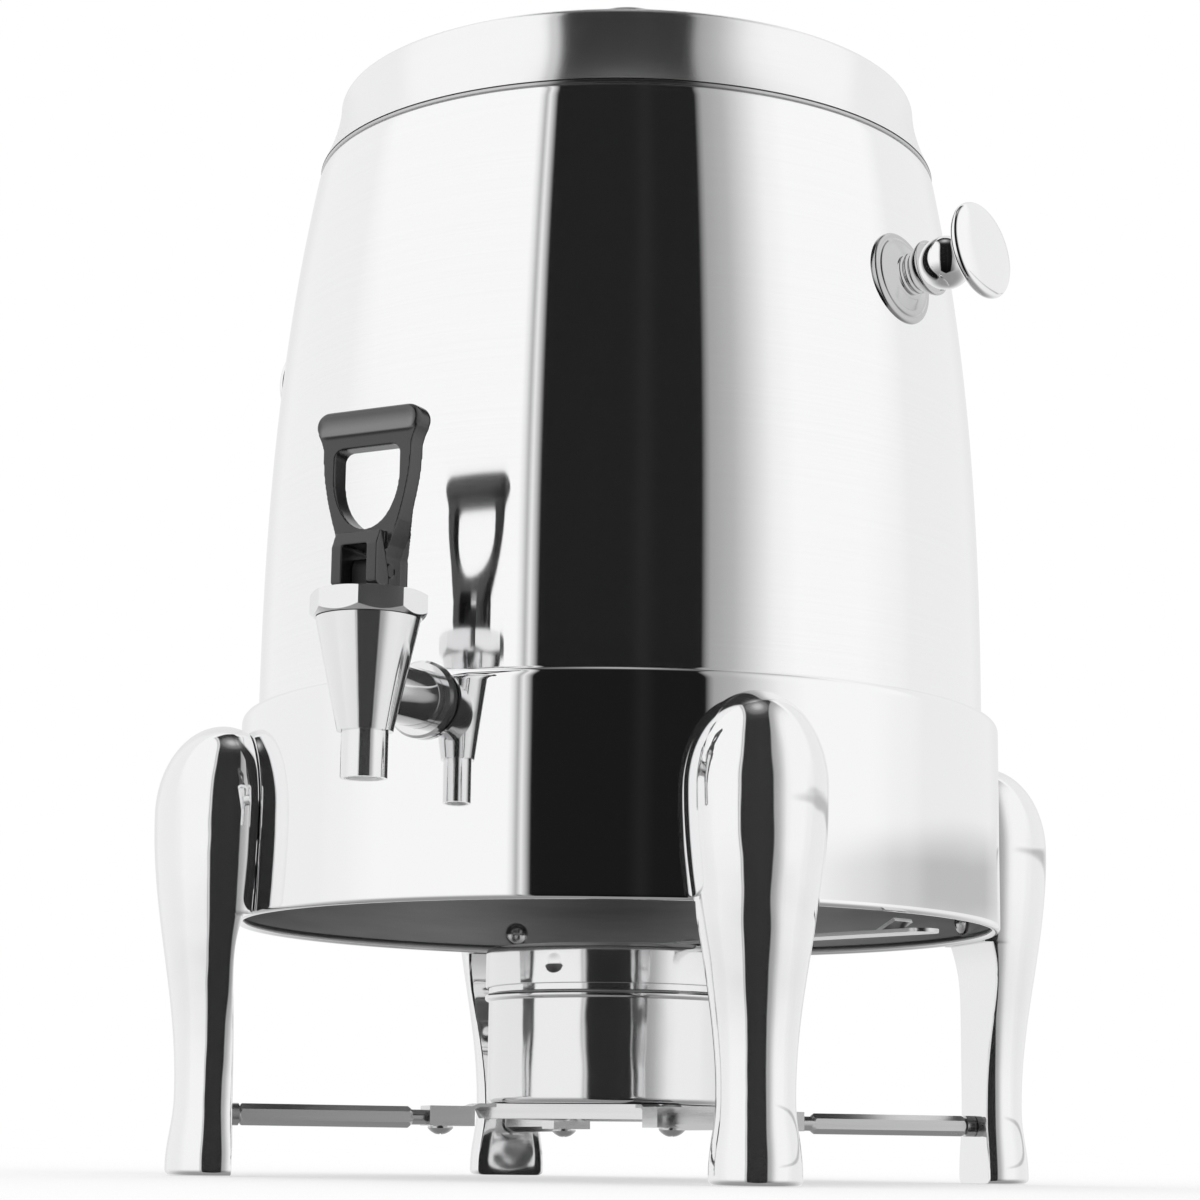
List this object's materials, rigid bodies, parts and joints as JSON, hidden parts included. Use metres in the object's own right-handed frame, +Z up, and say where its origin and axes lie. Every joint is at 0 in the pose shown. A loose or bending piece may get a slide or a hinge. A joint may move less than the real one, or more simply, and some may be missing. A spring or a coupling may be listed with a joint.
{
  "type": "coffee urn",
  "caption": "Round metal coffee urn on turned legs, with a domed lift-off lid, side knobs, a self-closing loop-handled tap and a fuel cup with a shutter between the legs.",
  "frame": {"origin": "on the urn's upright axis, at the level of the table", "axes": "+Z up along the urn's axis, -Y towards the tap, +X to the side where the shutter's strip comes out"},
  "size_m": [0.3174, 0.3237, 0.4333],
  "materials": {
    "brushed_steel": "satin, brushed around the axis",
    "satin_steel": "fine satin",
    "mirror_steel": "mirror polished",
    "plain_steel": "plain drawn sheet",
    "leg_chrome": "mirror polished",
    "knob_chrome": "mirror polished",
    "tap_chrome": "mirror polished",
    "screw_steel": "plain",
    "spring_steel": "plain",
    "handle_plastic": "moulded, half gloss",
    "valve_plastic": "moulded",
    "seal_rubber": "matt"
  },
  "bodies": {
    "urn": {"skirt_band": "mirror_steel", "outer_shell": "brushed_steel", "water_tank": "plain_steel", "knob_right": "knob_chrome", "knob_collar_right": "knob_chrome", "knob_rosette_right": "knob_chrome", "knob_stud_right": "screw_steel", "knob_left": "knob_chrome", "knob_collar_left": "knob_chrome", "knob_rosette_left": "knob_chrome", "knob_stud_left": "screw_steel", "leg_front_right": "leg_chrome", "leg_rear_right": "leg_chrome", "leg_rear_left": "leg_chrome", "leg_front_left": "leg_chrome", "leg_screws": "screw_steel", "arm_front_right": "satin_steel", "arm_rear_right": "satin_steel", "arm_rear_left": "satin_steel", "arm_front_left": "satin_steel", "arm_lock_nuts": "screw_steel", "arm_screws": "screw_steel", "burner_plate": "satin_steel", "tap_body": "tap_chrome", "tap_ring": "tap_chrome", "tap_spacer": "tap_chrome", "tank_seal": "seal_rubber", "tap_lock_nut": "tap_chrome", "bonnet_nut": "tap_chrome", "stem_seal": "seal_rubber", "tap_spring": "spring_steel"},
    "lid": {"lid_cover": "satin_steel", "lid_locating_ring": "satin_steel", "lid_knob": "knob_chrome", "lid_knob_collar": "knob_chrome", "lid_knob_rosette": "knob_chrome", "lid_knob_stud": "screw_steel"},
    "valve": {"tap_stem": "valve_plastic", "seat_cup": "seal_rubber"},
    "handle": {"tap_handle": "handle_plastic", "handle_pin": "spring_steel"},
    "cup": {"fuel_cup": "mirror_steel", "fuel_cap": "mirror_steel", "shutter_rivet": "screw_steel"},
    "shutter": {"fuel_shutter": "satin_steel"}
  },
  "joints": [
    {"name": "lid_lift", "type": "slide", "parent": "urn", "child": "lid", "axis": [0, 0, 1], "range_m": [0, 0.06]},
    {"name": "stem_lift", "type": "slide", "parent": "urn", "child": "valve", "axis": [0, 0, 1], "range_m": [0, 0.0034], "deforming": ["tap_spring"]},
    {"name": "handle_tilt", "type": "hinge", "parent": "valve", "child": "handle", "pos_m": [0, -0.1704, 0.1865], "axis": [1, 0, 0], "range_deg": [0, 40], "stiffness_Nm_per_rad": 0.0405, "springref_deg": -50.94},
    {"name": "cup_slide", "type": "slide", "parent": "urn", "child": "cup", "axis": [1, 0, 0], "range_m": [0, 0.19]},
    {"name": "shutter_swing", "type": "hinge", "parent": "cup", "child": "shutter", "pos_m": [0.03519, -0.01143, 0.081], "axis": [0, 0, 1], "range_deg": [0, 70]}
  ],
  "couplings": [
    {"joint": "stem_lift", "follows": "handle_tilt", "m_per_rad": 0.0045}
  ]
}
